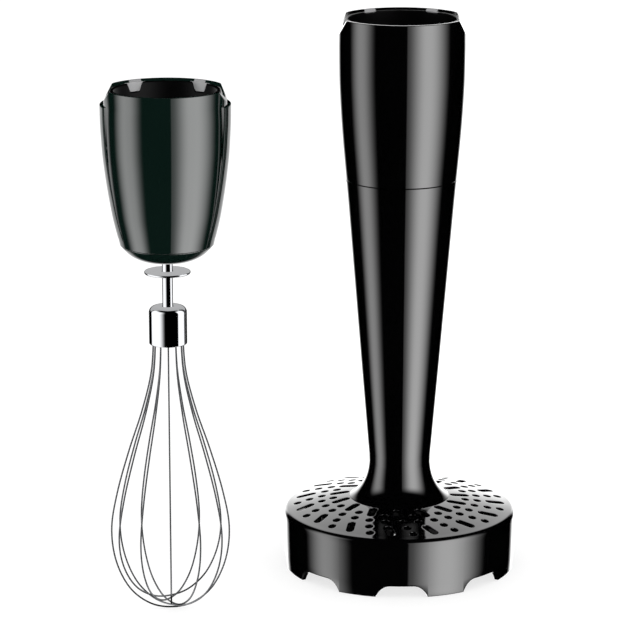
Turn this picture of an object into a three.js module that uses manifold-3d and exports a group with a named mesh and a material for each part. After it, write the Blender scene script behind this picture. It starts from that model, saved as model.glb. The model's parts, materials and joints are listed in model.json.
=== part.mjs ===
// Two powered attachments for a stick blender: a whisk and a vegetable masher.
// Millimetres, +Z up. Each attachment stands upright with its drive coupling on top.
import * as THREE from 'three';
import { mergeVertices } from 'three/addons/utils/BufferGeometryUtils.js';
import Module from 'manifold-3d';

const wasm = await Module();
wasm.setup();

// ---------------------------------------------------------------- driving dimensions
const GAP = 0.3;                  // clearance between neighbouring pieces
const ROUND = 28;                 // facets round a large turned piece
const FINE = 12;                  // facets round a small turned piece
const THIRD = (2 * Math.PI) / 3;

const WHISK_AT = { x: -98.3, y: -63 };   // whisk axis, seen from the masher axis

const MASHER = {
  mouthZ: 243.9,
  scoopTopX: 23.9,                // where the rim's side dips start
  scoopLowX: 27.7,
  scoopLowZ: 236,
  shellWall: 2.2,
  seamZ: 173.5,
  seamR: 24.35,
  neckZ: 47,
  neckR: 13.6,
  flareZ: 31.2,
  flareR: 21.9,
  deckZ: 213.5,
  deckT: 3,
  gearZ: 202,
  gearH: 8.5,
  ringPitchR: 17,
  ringOuterR: 23.8,
  carrierR: 15.5,
  hubR: 5.6,
  hubBottomZ: 166,
  pinR: 2,
  inputR: 2.8,
  screwAtR: 19.9,
  collarR: 24.8,
  pocketDepth: 1.6,
};
const BASE = {
  flangeR: 21.8,
  flangeLowZ: 174.4,
  flangeTopZ: 178,
  spigotR: 20.6,                  // spigot that plugs into the lower shaft
  spigotInnerR: 18.8,
  spigotLowZ: 163,
  bossR: 10.3,
  boreR: 8.3,
  bossLowZ: 174,
  bossTopZ: 190,
};
const FOOT = {
  rimR: 51.25,
  rimZ: 25,
  skirtTopR: 50.9,
  skirtBottomR: 50.6,
  skirtWall: 2,
  crownZ: 31.9,                   // height of the dome on its axis
  crownDrop: 0.0025,              // drop per millimetre of radius, squared
  plateT: 2.2,
  bossR: 10,
  bossBoreR: 7.6,
  bossLowZ: 24,
  bossSeatZ: 29.1,
  shaftBoreR: 5,
  notches: 8,
  notchHalfW: 11.3,
  notchBendW: 9,
  notchTopHalfW: 4.8,
  notchH: 5,
  rays: 30,
  raySwirl: 0.55,                 // degrees turned per millimetre outwards
  rayStart: 7.5,                  // angle of the first ray at the middle radius, degrees
  rayMidR: 36,
  holeW: 3.5,
  innerSlot: [22.4, 31],          // radii where each slot starts and ends
  outerSlot: [38.1, 46.5],
  outerHoles: [34.4, 39.8, 45],
  innerHoles: [29.3, 34.5],
};
const DRIVE = { r: 4, hexR: 3.2, topZ: 182, shoulderZ: 165.5, lowShoulderZ: 23.3, lowZ: 16.5 };
const BEARINGS = {
  plateR: 19.6,
  plateZ: [152, 156],
  bushR: 10.2,
  bushZ: [38, 47],
  sealR: 7.3,
  sealZ: [24.5, 28.7],
};
const PADDLE = {
  hubR: 8,
  lowZ: 10,
  topZ: 23,
  bladeLowZ: 12,
  bladeTopZ: 22,
  rootR: 5,
  reach: 43,
  sweep: 38,                      // degrees that a blade is swept back at its tip
  bladeT: 3.2,
};

const WHISK = {
  mouthZ: 223.9,
  scoopTopX: 22.4,
  scoopLowX: 25.2,
  scoopLowZ: 218.8,
  shellWall: 2,
  shoulderZ: 158.5,
  shoulderR: 19.35,
  deckZ: 196.5,
  deckT: 2.5,
  gearZ: 185,
  gearH: 8,
  ringPitchR: 15,
  ringOuterR: 20.7,
  carrierR: 13.7,
  hubR: 6,
  hubBottomZ: 158.4,
  pinR: 1.6,
  inputR: 2.2,
  screwAtR: 18.1,
  collarR: 22.7,
  pocketDepth: 3.8,
};
const CAP = {
  rodHoleR: 3.2,
  seatR: 5.6,                     // seat of the shaft seal
  seatZ: 154,
  boreR: 8.5,
  floorZ: 158,
  boreTopZ: 175,
  bossR: 10.5,
  lipZ: 158.2,
};
const WING = { topZ: 217.5, halfW: 10.6, proud: 1.9, firstRow: 2, blockX: [5, 35], blockZ: [150, 230] };
const ROD = { r: 2.2, lowZ: 124.3, topZ: 174, hexFromZ: 158, grooveZ: 170, grooveR: 1.2, grooveH: 1.6 };
const DISC = { r: 9.6, z: 146.2, t: 1 };
const FERRULE = { r: 7.9, lowZ: 116.2, topZ: 132.2, wall: 0.9 };
const HOOP = {
  count: 6,
  turn: 2.9,                      // degrees that the first hoop is turned from the X axis
  wireR: 0.36,
  pitchZ: 1.05,                   // height that each hoop crosses above the one before it
  endZ: 128.5,
  endR: 6.2,
  bellyZ: 36,
  steps: 24,
};

const GEAR = { sun: 9, planet: 9, ring: 27, pressure: 25, addendum: 0.85, dedendum: 1.1, thin: 0.86 };
const CARRIER = { topGap: 0.4, discT: 4.6 };
const SCREW = { r: 1, clearR: 1.3, headR: 1.6, headTop: 1.7, keyR: 0.8, keyFloor: 1, tip: 1.5 };
const INPUT = {
  lobes: 6,
  outerR: { pitch: 6, tip: 7, root: 5.4 },
  boreR: { pitch: 3.7, tip: 4.4, root: 3.1 },
  height: 11,
  floorT: 3,
  flangeR: 8,
  flangeT: 1.6,
};
const COLLAR = { wall: 1.6, belowRim: 0.8, deckGap: 0.7 };
const POCKET = { atX: 13.4, fromY: 10, toY: 34, halfW: 3.3, floorHalfW: 1.2, top: 2 };

// ---------------------------------------------------------------- colours
const COLOURS = {
  blackGloss: { color: 0x07070a, roughness: 0.08, metalness: 0 },
  greenBlackGloss: { color: 0x07100d, roughness: 0.1, metalness: 0 },
  blackSatin: { color: 0x111113, roughness: 0.45, metalness: 0 },
  chrome: { color: 0xe2e4e6, roughness: 0.06, metalness: 1 },
  wire: { color: 0xb4b6ba, roughness: 0.18, metalness: 1 },
  steel: { color: 0x9b9da1, roughness: 0.3, metalness: 1 },
  bronze: { color: 0x9c7440, roughness: 0.4, metalness: 1 },
  nylon: { color: 0xd9d6cb, roughness: 0.5, metalness: 0 },
  darkNylon: { color: 0x2c2e31, roughness: 0.5, metalness: 0 },
  rubber: { color: 0x1b1b1c, roughness: 0.85, metalness: 0 },
};

// ---------------------------------------------------------------- solids
function signedVolume(positions, triangles) {
  const corner = [new THREE.Vector3(), new THREE.Vector3(), new THREE.Vector3()];
  let total = 0;
  for (let t = 0; t < triangles.length; t += 3) {
    corner.forEach((c, k) => c.fromArray(positions, 3 * triangles[t + k]));
    total += corner[0].dot(corner[1].cross(corner[2])) / 6;
  }
  return total;
}

// A closed mesh as a boolean solid, its faces turned outwards.
function toSolid(geometry) {
  const bare = geometry.clone();
  bare.deleteAttribute('normal');
  bare.deleteAttribute('uv');
  const merged = mergeVertices(bare, 1e-4);
  const positions = new Float32Array(merged.getAttribute('position').array);
  const index = merged.getIndex().array;
  const triangles = [];
  for (let t = 0; t < index.length; t += 3) {
    const [a, b, c] = index.slice(t, t + 3);
    if (a !== b && b !== c && a !== c) triangles.push(a, b, c);
  }
  if (signedVolume(positions, triangles) < 0) triangles.reverse();
  const triVerts = new Uint32Array(triangles);
  return new wasm.Manifold(new wasm.Mesh({ numProp: 3, vertProperties: positions, triVerts }));
}

// A solid turned round the Z axis from a closed outline of [radius, height] pairs.
function turned(outline, segments = ROUND) {
  const points = outline.map(([r, z]) => new THREE.Vector2(r, z));
  points.push(points[0].clone());
  return toSolid(new THREE.LatheGeometry(points, segments).rotateX(Math.PI / 2));
}

function tube(innerR, outerR, lowZ, topZ, segments = FINE) {
  return turned([[innerR, lowZ], [outerR, lowZ], [outerR, topZ], [innerR, topZ]], segments);
}

// Prisms with the given outlines in plan, from lowZ to topZ.
function prism(shapes, lowZ, topZ) {
  const settings = { depth: topZ - lowZ, bevelEnabled: false, curveSegments: 6 };
  return toSolid(new THREE.ExtrudeGeometry(shapes, settings).translate(0, 0, lowZ));
}

// A prism whose outline lies in the XZ plane, running along Y.
function crossPrism(shape, fromY, toY) {
  const settings = { depth: toY - fromY, bevelEnabled: false, curveSegments: 4 };
  const geometry = new THREE.ExtrudeGeometry(shape, settings).translate(0, 0, -toY);
  return toSolid(geometry.rotateX(Math.PI / 2));
}

// A shape from a list of [x, y] corners.
const shapeOf = (corners) => new THREE.Shape(corners.map(([x, y]) => new THREE.Vector2(x, y)));

function polygon(sides, radius, turn = 0) {
  const corners = [];
  for (let k = 0; k < sides; k += 1) {
    const angle = turn + (2 * Math.PI * k) / sides;
    corners.push(new THREE.Vector2(radius * Math.cos(angle), radius * Math.sin(angle)));
  }
  return new THREE.Shape(corners);
}

function post(sides, radius, lowZ, topZ, x = 0, y = 0) {
  return prism(polygon(sides, radius), lowZ, topZ).translate([x, y, 0]);
}

function spline(points, count) {
  const curve = new THREE.SplineCurve(points.map(([r, z]) => new THREE.Vector2(r, z)));
  return curve.getPoints(count).map((p) => [p.x, p.y]);
}

const inset = (outline, wall) => outline.map(([r, z]) => [r - wall, z]);

function piece(parent, name, solid, colour) {
  const { vertProperties, triVerts } = solid.getMesh();
  const geometry = new THREE.BufferGeometry();
  geometry.setAttribute('position', new THREE.BufferAttribute(vertProperties, 3));
  geometry.setIndex(new THREE.BufferAttribute(triVerts, 1));
  geometry.computeVertexNormals();
  const mesh = new THREE.Mesh(geometry, new THREE.MeshStandardMaterial(COLOURS[colour]));
  mesh.name = name;
  parent.add(mesh);
  return mesh;
}

// ---------------------------------------------------------------- gears
const involute = (angle) => Math.tan(angle) - angle;

// Outline of a spur gear with involute flanks; fat widens the teeth for use as a cutter.
function gearShape(teeth, pitchR, tipR, rootR, fat = GEAR.thin) {
  const pressure = THREE.MathUtils.degToRad(GEAR.pressure);
  const baseR = pitchR * Math.cos(pressure);
  const halfAtBase = (Math.PI / (2 * teeth)) * fat + involute(pressure);
  const halfAt = (r) => halfAtBase - involute(Math.acos(Math.min(1, baseR / r)));
  const corners = [];
  for (let k = 0; k < teeth; k += 1) {
    const middle = (2 * Math.PI * k) / teeth;
    const place = (r, side) => {
      const angle = middle + side * halfAt(r);
      corners.push(new THREE.Vector2(r * Math.cos(angle), r * Math.sin(angle)));
    };
    place(rootR, -1);
    place(tipR, -1);
    place(tipR, 1);
    place(rootR, 1);
  }
  return new THREE.Shape(corners);
}

// Solids of one planetary stage: sun, planet (about its own axis) and fixed ring.
function gearStage(size) {
  const tooth = (2 * size.ringPitchR) / GEAR.ring;
  const sunR = (tooth * GEAR.sun) / 2;
  const planetR = (tooth * GEAR.planet) / 2;
  const add = GEAR.addendum * tooth;
  const ded = GEAR.dedendum * tooth;
  const top = size.gearZ + size.gearH;
  const sun = prism(gearShape(GEAR.sun, sunR, sunR + add, sunR - ded), size.gearZ, top)
    .subtract(post(FINE, size.inputR + GAP, size.gearZ - 1, top + 1));
  const planet = prism(gearShape(GEAR.planet, planetR, planetR + add, planetR - ded), size.gearZ, top)
    .subtract(post(FINE, size.pinR + GAP, size.gearZ - 1, top + 1));
  const toothTipR = size.ringPitchR - add;
  const toothRootR = size.ringPitchR + ded;
  const hollow = gearShape(GEAR.ring, size.ringPitchR, toothRootR, toothTipR, 2 - GEAR.thin);
  const ringLow = size.gearZ - 2;
  let ring = prism(polygon(ROUND, size.ringOuterR), ringLow, size.deckZ - GAP)
    .subtract(prism(hollow, ringLow - 1, size.deckZ + 1));
  for (const [x, y] of screwPlaces(size)) {
    ring = ring.subtract(post(8, SCREW.clearR, size.gearZ + 1, size.deckZ + 1, x, y));
  }
  return { sun, planet, ring, orbitR: sunR + planetR };
}

function screwPlaces(size) {
  return [0, 1, 2].map((k) => {
    const angle = Math.PI / 3 + k * THIRD;
    return [size.screwAtR * Math.cos(angle), size.screwAtR * Math.sin(angle)];
  });
}

// Everything a coupling end holds: collar, deck, screws, input coupling and gear train.
function couplingEnd(group, prefix, size, gearColour) {
  const stage = gearStage(size);
  const deckTop = size.deckZ + size.deckT;

  piece(group, `${prefix}_coupling_collar`, couplingCollar(size, deckTop), 'blackSatin');

  let deck = prism(polygon(ROUND, size.collarR - COLLAR.deckGap), size.deckZ, deckTop)
    .subtract(post(FINE, size.inputR + GAP, size.deckZ - 1, deckTop + 1));
  screwPlaces(size).forEach(([x, y], k) => {
    deck = deck.subtract(post(8, SCREW.clearR, size.deckZ - 1, deckTop + 1, x, y));
    const screw = post(8, SCREW.r, size.gearZ + SCREW.tip, deckTop + 2 * GAP, x, y)
      .add(post(10, SCREW.headR, deckTop + GAP, deckTop + SCREW.headTop, x, y))
      .subtract(post(6, SCREW.keyR, deckTop + SCREW.keyFloor, deckTop + 2, x, y));
    piece(group, `${prefix}_deck_screw_${k + 1}`, screw, 'steel');
  });
  piece(group, `${prefix}_gearbox_deck`, deck, 'darkNylon');

  piece(group, `${prefix}_input_coupling`, inputCoupling(size, deckTop), 'darkNylon');
  piece(group, `${prefix}_sun_gear`, stage.sun, 'steel');
  piece(group, `${prefix}_ring_gear`, stage.ring, gearColour);
  for (let k = 0; k < 3; k += 1) {
    const arm = new THREE.Group();
    arm.rotation.z = k * THIRD;
    group.add(arm);
    const planet = piece(arm, `${prefix}_planet_gear_${k + 1}`, stage.planet, gearColour);
    planet.position.x = stage.orbitR;
  }
  return stage.orbitR;
}

// Lining of the mouth, with two latch pockets low on its rear rim.
function couplingCollar(size, deckTop) {
  const topZ = size.mouthZ - COLLAR.belowRim;
  let collar = tube(size.collarR - COLLAR.wall, size.collarR, deckTop + GAP, topZ, ROUND);
  for (const side of [-1, 1]) {
    const shape = pocketShape(side * POCKET.atX, topZ, size.pocketDepth);
    collar = collar.subtract(crossPrism(shape, POCKET.fromY, POCKET.toY));
  }
  return collar.subtract(sideScoops(size));
}

// Outline of a latch pocket: wide at the rim, narrow and rounded at its floor.
function pocketShape(middleX, topZ, depth) {
  const shape = new THREE.Shape();
  const floorZ = topZ - depth;
  const bend = POCKET.floorHalfW + 1;
  shape.moveTo(middleX - POCKET.halfW, topZ + POCKET.top);
  shape.lineTo(middleX - bend - 0.6, topZ - 1);
  shape.quadraticCurveTo(middleX - bend, floorZ, middleX - POCKET.floorHalfW, floorZ);
  shape.lineTo(middleX + POCKET.floorHalfW, floorZ);
  shape.quadraticCurveTo(middleX + bend, floorZ, middleX + bend + 0.6, topZ - 1);
  shape.lineTo(middleX + POCKET.halfW, topZ + POCKET.top);
  return shape;
}

// The rim dips at the left and right of the mouth.
function sideScoops(size) {
  const topZ = size.mouthZ;
  const clearX = size.scoopLowX + 6;
  const right = [
    [size.scoopTopX, topZ + 3], [size.scoopTopX, topZ], [size.scoopLowX, size.scoopLowZ],
    [clearX, size.scoopLowZ], [clearX, topZ + 3],
  ];
  const cutter = (side) => crossPrism(shapeOf(right.map(([x, z]) => [side * x, z])), -40, 40);
  return cutter(1).add(cutter(-1));
}

// Splined coupling that the motor turns, with its shaft down to the sun gear.
function inputCoupling(size, deckTop) {
  const low = deckTop + 2 * GAP;
  const top = low + INPUT.height;
  const splined = ({ pitch, tip, root }) => gearShape(INPUT.lobes, pitch, tip, root);
  return prism(splined(INPUT.outerR), low, top)
    .add(tube(0, INPUT.flangeR, low, low + INPUT.flangeT))
    .subtract(prism(splined(INPUT.boreR), low + INPUT.floorT, top + 1))
    .add(tube(0, size.inputR, size.gearZ, low + 1));
}

// Three-armed carrier below the planets, with an output hub that ends in a hexagon socket.
function carrier(size, orbitR, socketR, socketTopZ) {
  const discTop = size.gearZ - CARRIER.topGap;
  const discLow = discTop - CARRIER.discT;
  const pinTop = size.gearZ + size.gearH + CARRIER.topGap;
  let solid = tube(0, size.carrierR, discLow, discTop, ROUND)
    .add(tube(0, size.hubR, size.hubBottomZ, discLow + 1));
  for (let k = 0; k < 3; k += 1) {
    const x = orbitR * Math.cos(k * THIRD);
    const y = orbitR * Math.sin(k * THIRD);
    solid = solid.add(post(FINE, size.pinR, discTop - 1, pinTop, x, y));
  }
  return solid.subtract(post(6, socketR, size.hubBottomZ - 1, socketTopZ));
}

// ---------------------------------------------------------------- masher attachment
function masherGearbox(group) {
  const outer = spline([[MASHER.seamR, MASHER.seamZ + GAP], [25.87, 190], [27.1, 208], [27.65, 230]], 4);
  outer.push([27.6, MASHER.mouthZ]);
  const outline = [...outer, ...inset(outer, MASHER.shellWall).reverse()];
  const shell = turned(outline).subtract(sideScoops(MASHER));
  piece(group, 'masher_gearbox_shell', shell, 'blackGloss');
  const orbitR = couplingEnd(group, 'masher', MASHER, 'nylon');
  const socketR = DRIVE.hexR + 0.4;
  piece(group, 'masher_planet_carrier', carrier(MASHER, orbitR, socketR, DRIVE.topZ + 2), 'steel');

  const base = turned([
    [BASE.boreR, BASE.bossLowZ], [BASE.spigotInnerR, BASE.bossLowZ], [BASE.spigotInnerR, BASE.spigotLowZ],
    [BASE.spigotR, BASE.spigotLowZ], [BASE.spigotR, BASE.flangeLowZ], [BASE.flangeR, BASE.flangeLowZ],
    [BASE.flangeR, BASE.flangeTopZ], [BASE.bossR, BASE.flangeTopZ], [BASE.bossR, BASE.bossTopZ],
    [BASE.boreR, BASE.bossTopZ],
  ]);
  piece(group, 'masher_gearbox_base', base, 'blackSatin');
  const bush = tube(MASHER.hubR + GAP, BASE.boreR - GAP, BASE.bossLowZ + 1, BASE.bossTopZ - 1);
  piece(group, 'masher_output_bush', bush, 'bronze');
}

// Outer outline of the lower shaft: a straight taper that flares onto the foot.
function shaftOutline() {
  const flare = new THREE.QuadraticBezierCurve(
    new THREE.Vector2(MASHER.neckR, MASHER.neckZ),
    new THREE.Vector2(MASHER.neckR + 0.4, MASHER.flareZ + 4.4),
    new THREE.Vector2(MASHER.flareR, MASHER.flareZ),
  );
  const taperEnd = [14.2, 56];
  return [[MASHER.seamR, MASHER.seamZ], taperEnd, ...flare.getPoints(4).map((p) => [p.x, p.y])];
}

function masherShaft(group) {
  const outer = shaftOutline();
  const boreR = BEARINGS.bushR + 0.4;
  const inner = [
    [14, MASHER.flareZ + 0.5], [boreR, 36], [boreR, MASHER.neckZ], [11.2, 56],
    [MASHER.seamR - 2.4, MASHER.seamZ],
  ];
  piece(group, 'masher_lower_shaft', turned([...outer, ...inner]), 'blackGloss');
  const runs = DRIVE.r + GAP;
  piece(group, 'masher_bearing_plate', tube(runs, BEARINGS.plateR, ...BEARINGS.plateZ, ROUND), 'nylon');
  piece(group, 'masher_lower_bush', tube(runs, BEARINGS.bushR, ...BEARINGS.bushZ), 'bronze');
  piece(group, 'masher_shaft_seal', tube(runs, BEARINGS.sealR, ...BEARINGS.sealZ), 'rubber');
  const shaft = tube(0, DRIVE.r, DRIVE.lowShoulderZ, DRIVE.shoulderZ)
    .add(post(6, DRIVE.hexR, DRIVE.lowZ, DRIVE.topZ));
  piece(group, 'masher_drive_shaft', shaft, 'steel');
}

const crownAt = (r) => FOOT.crownZ - FOOT.crownDrop * r * r;

// A round hole or a slot that follows its swirling ray from one radius to another.
function rayHole(ray, fromR, toR) {
  const half = FOOT.holeW / 2;
  const rayAngle = FOOT.rayStart + (360 / FOOT.rays) * ray;
  const angleAt = (r) => THREE.MathUtils.degToRad(rayAngle + FOOT.raySwirl * (r - FOOT.rayMidR));
  const centre = (r) => new THREE.Vector2(r * Math.cos(angleAt(r)), r * Math.sin(angleAt(r)));
  if (fromR === toR) {
    const middle = centre(fromR);
    return new THREE.Shape(polygon(6, half, angleAt(fromR)).getPoints().map((p) => p.add(middle)));
  }
  const ends = [centre(fromR + half), centre(toR - half)];
  const along = Math.atan2(ends[1].y - ends[0].y, ends[1].x - ends[0].x);
  const corners = [];
  [0, 1].forEach((end) => {
    for (let k = -1; k <= 1; k += 1) {
      const angle = along + (end === 1 ? 0 : Math.PI) + (k * Math.PI) / 3;
      corners.push(new THREE.Vector2(half * Math.cos(angle), half * Math.sin(angle)).add(ends[end]));
    }
  });
  return new THREE.Shape(corners);
}

// Odd rays run slot, hole, hole, hole outwards; the rays between them run hole, hole, slot.
function drainHoles() {
  const shapes = [];
  for (let ray = 0; ray < FOOT.rays; ray += 1) {
    if (ray % 2 === 0) {
      shapes.push(rayHole(ray, ...FOOT.innerSlot));
      FOOT.outerHoles.forEach((r) => shapes.push(rayHole(ray, r, r)));
    } else {
      FOOT.innerHoles.forEach((r) => shapes.push(rayHole(ray, r, r)));
      shapes.push(rayHole(ray, ...FOOT.outerSlot));
    }
  }
  return prism(shapes, FOOT.rimZ - 5, FOOT.crownZ + 5);
}

function notchShape() {
  const { notchHalfW: wide, notchTopHalfW: narrow, notchBendW: bend, notchH: top } = FOOT;
  const below = -5;
  const shape = new THREE.Shape();
  shape.moveTo(-wide, below);
  shape.lineTo(-wide, 0);
  shape.quadraticCurveTo(-bend, top, -narrow, top);
  shape.lineTo(narrow, top);
  shape.quadraticCurveTo(bend, top, wide, 0);
  shape.lineTo(wide, below);
  return shape;
}

function masherFoot(group) {
  const skirtInnerR = FOOT.skirtBottomR - FOOT.skirtWall;
  const top = [49.9, 30, FOOT.shaftBoreR].map((r) => [r, crownAt(r)]);
  const under = [FOOT.bossR, 30, 46].map((r) => [r, crownAt(r) - FOOT.plateT]);
  const outline = [
    [FOOT.shaftBoreR, FOOT.bossSeatZ], [FOOT.bossBoreR, FOOT.bossSeatZ], [FOOT.bossBoreR, FOOT.bossLowZ],
    [FOOT.bossR, FOOT.bossLowZ], ...under, [skirtInnerR, FOOT.rimZ - 2], [skirtInnerR, 0],
    [FOOT.skirtBottomR, 0], [FOOT.skirtTopR, FOOT.rimZ - 1], [FOOT.rimR, FOOT.rimZ], ...top,
  ];
  let foot = turned(outline, 4 * FOOT.notches).subtract(drainHoles());
  for (let k = 0; k < FOOT.notches / 2; k += 1) {
    const across = crossPrism(notchShape(), -60, 60);
    foot = foot.subtract(across.rotate([0, 0, (360 / FOOT.notches) * k]));
  }
  piece(group, 'masher_foot', foot, 'blackGloss');
}

// Two-bladed paddle that pushes the mash through the holes; its hub plugs onto the drive shaft.
function masherPaddle(group) {
  const middleAt = (t) => {
    const r = PADDLE.rootR + (PADDLE.reach - PADDLE.rootR) * t;
    const angle = THREE.MathUtils.degToRad(-PADDLE.sweep * t * t);
    return new THREE.Vector2(r * Math.cos(angle), r * Math.sin(angle));
  };
  const sides = [[], []];
  for (let k = 0; k <= 6; k += 1) {
    const here = middleAt(k / 6);
    const along = middleAt(k / 6 + 0.01).sub(here).normalize();
    const across = new THREE.Vector2(-along.y, along.x).multiplyScalar(PADDLE.bladeT / 2);
    sides[0].push(here.clone().add(across));
    sides[1].unshift(here.clone().sub(across));
  }
  const blade = prism(new THREE.Shape([...sides[0], ...sides[1]]), PADDLE.bladeLowZ, PADDLE.bladeTopZ);
  const paddle = tube(0, PADDLE.hubR, PADDLE.lowZ, PADDLE.topZ)
    .add(blade)
    .add(blade.rotate([0, 0, 180]))
    .subtract(post(6, DRIVE.hexR + 0.4, DRIVE.lowZ - GAP, PADDLE.topZ + 1));
  piece(group, 'masher_paddle', paddle, 'blackSatin');
}

// ---------------------------------------------------------------- whisk attachment
// Outline of the side wings; the shell between them lies a little further in.
function wingOutline() {
  return spline([
    [WHISK.shoulderR, WHISK.shoulderZ], [20.8, 163.6], [23, 174], [24.73, 184], [26, 194],
    [26.8, 204], [27.2, WING.topZ],
  ], 6);
}

function whiskShellOutline() {
  const rise = WING.topZ - WHISK.shoulderZ;
  const lower = wingOutline().map(([r, z]) => [r - (WING.proud * (z - WHISK.shoulderZ)) / rise, z]);
  return [...lower, [25.3, WHISK.mouthZ]];
}

function whiskGearbox(group) {
  const outer = whiskShellOutline();
  const outline = [...outer, ...inset(outer, WHISK.shellWall).reverse()];
  piece(group, 'whisk_gearbox_shell', turned(outline).subtract(sideScoops(WHISK)), 'greenBlackGloss');

  const skin = wingOutline().slice(WING.firstRow);
  const behind = outer.slice(WING.firstRow, -1).map(([r, z]) => [r + GAP, z]);
  const ring = turned([...skin, ...behind.reverse()]);
  const [nearX, farX] = WING.blockX;
  const half = WING.halfW;
  for (const [side, name] of [[-1, 'left'], [1, 'right']]) {
    const near = side * nearX;
    const far = side * farX;
    const block = prism(shapeOf([[near, -half], [far, -half], [far, half], [near, half]]), ...WING.blockZ);
    piece(group, `whisk_side_wing_${name}`, ring.intersect(block), 'greenBlackGloss');
  }

  const orbitR = couplingEnd(group, 'whisk', WHISK, 'nylon');
  piece(group, 'whisk_planet_carrier', carrier(WHISK, orbitR, ROD.r + 0.5, ROD.topZ + 1), 'steel');

  const { rodHoleR, seatR, seatZ, boreR, floorZ, boreTopZ, bossR, lipZ } = CAP;
  const cap = turned([
    [rodHoleR, 151.5], [7.8, 151.8], [12.6, 153.2], [16.2, 155.4], [19, lipZ],
    [17, lipZ], [17, 164], [15.2, 164], [15.2, lipZ], [bossR, lipZ - 1], [bossR, boreTopZ],
    [boreR, boreTopZ], [boreR, floorZ], [seatR, floorZ], [seatR, seatZ], [rodHoleR, seatZ],
  ]);
  piece(group, 'whisk_gearbox_base_cap', cap, 'greenBlackGloss');
  const bush = tube(WHISK.hubR + GAP, boreR - GAP, floorZ + 2, boreTopZ - 0.5);
  piece(group, 'whisk_output_bush', bush, 'bronze');
  const seal = tube(ROD.r + 0.4, seatR - GAP, seatZ + GAP, WHISK.hubBottomZ - 0.8);
  piece(group, 'whisk_shaft_seal', seal, 'rubber');
}

// Centre line of one hoop, drawn flat: down one leg, under the axis and up the other. Below
// its belly a hoop is squeezed upwards by its lift, to cross above the hoop before it.
function hoopCurve(lift) {
  const lowZ = HOOP.wireR + 0.1;
  const squeeze = 1 - lift / (HOOP.bellyZ - lowZ);
  const belly = [[24.8, HOOP.bellyZ], [23.2, 21.5], [17.6, 9.4], [9.2, 2.4], [0, lowZ]];
  const leg = [
    [HOOP.endR, HOOP.endZ], [HOOP.endR, 117], [7.4, 103], [11.4, 87], [17, 70], [22.1, 52],
    ...belly.map(([r, z]) => [r, HOOP.bellyZ - (HOOP.bellyZ - z) * squeeze]),
  ];
  const other = leg.slice(0, -1).reverse().map(([r, z]) => [-r, z]);
  return new THREE.CatmullRomCurve3([...leg, ...other].map(([x, z]) => new THREE.Vector3(x, 0, z)));
}

function whiskBalloon(group) {
  const section = polygon(6, HOOP.wireR);
  for (let k = 0; k < HOOP.count; k += 1) {
    const extrudePath = hoopCurve(((HOOP.count - k) % HOOP.count) * HOOP.pitchZ);
    const settings = { steps: HOOP.steps, bevelEnabled: false, extrudePath };
    const wire = toSolid(new THREE.ExtrudeGeometry(section, settings));
    const hoop = piece(group, `whisk_hoop_${k + 1}`, wire, 'wire');
    hoop.rotation.z = THREE.MathUtils.degToRad(HOOP.turn + (180 / HOOP.count) * k);
  }
}

function whiskStem(group) {
  const rod = tube(0, ROD.r, ROD.lowZ, ROD.hexFromZ, 16)
    .add(post(6, ROD.r, ROD.hexFromZ - 1, ROD.topZ))
    .subtract(tube(ROD.grooveR, ROD.r + 1, ROD.grooveZ, ROD.grooveZ + ROD.grooveH, 16));
  piece(group, 'whisk_rod', rod, 'chrome');
  const clipLow = ROD.grooveZ + 0.4;
  const clipTop = ROD.grooveZ + ROD.grooveH - 0.4;
  const clip = tube(ROD.grooveR + GAP, ROD.r - 0.15, clipLow, clipTop);
  piece(group, 'whisk_retaining_clip', clip, 'steel');
  piece(group, 'whisk_stop_disc', tube(ROD.r + GAP, DISC.r, DISC.z, DISC.z + DISC.t, 24), 'chrome');

  const inner = FERRULE.r - FERRULE.wall;
  const ferrule = turned([
    [inner, FERRULE.lowZ + 0.2], [FERRULE.r - 0.5, FERRULE.lowZ], [FERRULE.r, FERRULE.lowZ + 0.6],
    [FERRULE.r, FERRULE.topZ - 2.8], [FERRULE.r - 0.8, FERRULE.topZ - 0.9], [FERRULE.r - 2.8, FERRULE.topZ],
    [ROD.r + GAP, FERRULE.topZ], [ROD.r + GAP, FERRULE.topZ - 1.2], [inner - 1, FERRULE.topZ - 2],
    [inner, FERRULE.topZ - 3],
  ], 20);
  piece(group, 'whisk_ferrule', ferrule, 'chrome');
  const plug = tube(0, HOOP.endR - 1, FERRULE.lowZ + 0.5, ROD.lowZ - GAP);
  piece(group, 'whisk_ferrule_plug', plug, 'darkNylon');
}

// ---------------------------------------------------------------- the set
const masher = new THREE.Group();
masherGearbox(masher);
masherShaft(masher);
masherFoot(masher);
masherPaddle(masher);

const whisk = new THREE.Group();
whiskGearbox(whisk);
whiskStem(whisk);
whiskBalloon(whisk);
whisk.position.set(WHISK_AT.x, WHISK_AT.y, 0);

// The frame's origin is the middle of the surface that the pair stands on.
const set = new THREE.Group();
set.add(masher, whisk);
const middle = new THREE.Box3().setFromObject(set, true).getCenter(new THREE.Vector3());
set.position.set(-middle.x, -middle.y, 0);

export default set;
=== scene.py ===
import json
import math

import bmesh
import bpy
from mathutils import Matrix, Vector
from mathutils.geometry import delaunay_2d_cdt


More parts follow.
